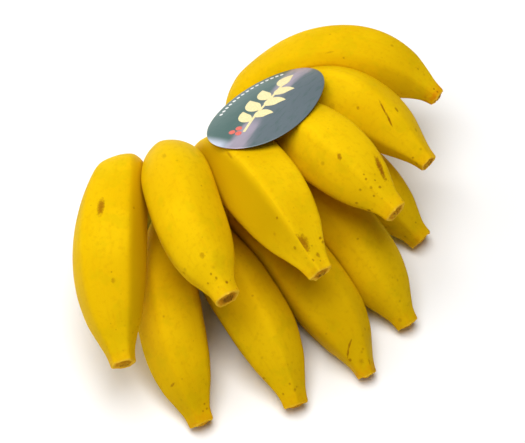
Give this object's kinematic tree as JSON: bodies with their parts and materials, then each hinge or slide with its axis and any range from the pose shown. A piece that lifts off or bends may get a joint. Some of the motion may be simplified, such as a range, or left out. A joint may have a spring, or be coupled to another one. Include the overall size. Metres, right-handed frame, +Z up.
{
  "type": "hand of apple bananas",
  "caption": "Hand of short plump ripe bananas in two curved rows on one cut crown, lying on its hollow side, with a thin oval label bent over the upper row's shoulders.",
  "frame": {"origin": "on the resting surface, under the middle of the box around the hand", "axes": "+X along the crown towards the free outer finger of the upper row, +Y from the blossom ends towards the crown, +Z up from the surface the hand lies on"},
  "size_m": [0.238, 0.1724, 0.0875],
  "materials": {
    "banana_skin": "smooth satin ripe skin with soft ridges and a few brown freckles",
    "crown_flesh": "matt fibrous cut tissue, tan to greenish",
    "label_foil": "thin metallised film with a satin sheen"
  },
  "bodies": {
    "root": {"crown": "crown_flesh", "finger_u1": "banana_skin", "finger_u2": "banana_skin", "finger_u3": "banana_skin", "finger_u4": "banana_skin", "finger_u5": "banana_skin", "finger_u6": "banana_skin", "finger_l1": "banana_skin", "finger_l2": "banana_skin", "finger_l3": "banana_skin", "finger_l4": "banana_skin", "finger_l5": "banana_skin", "label": "label_foil"}
  },
  "joints": []
}
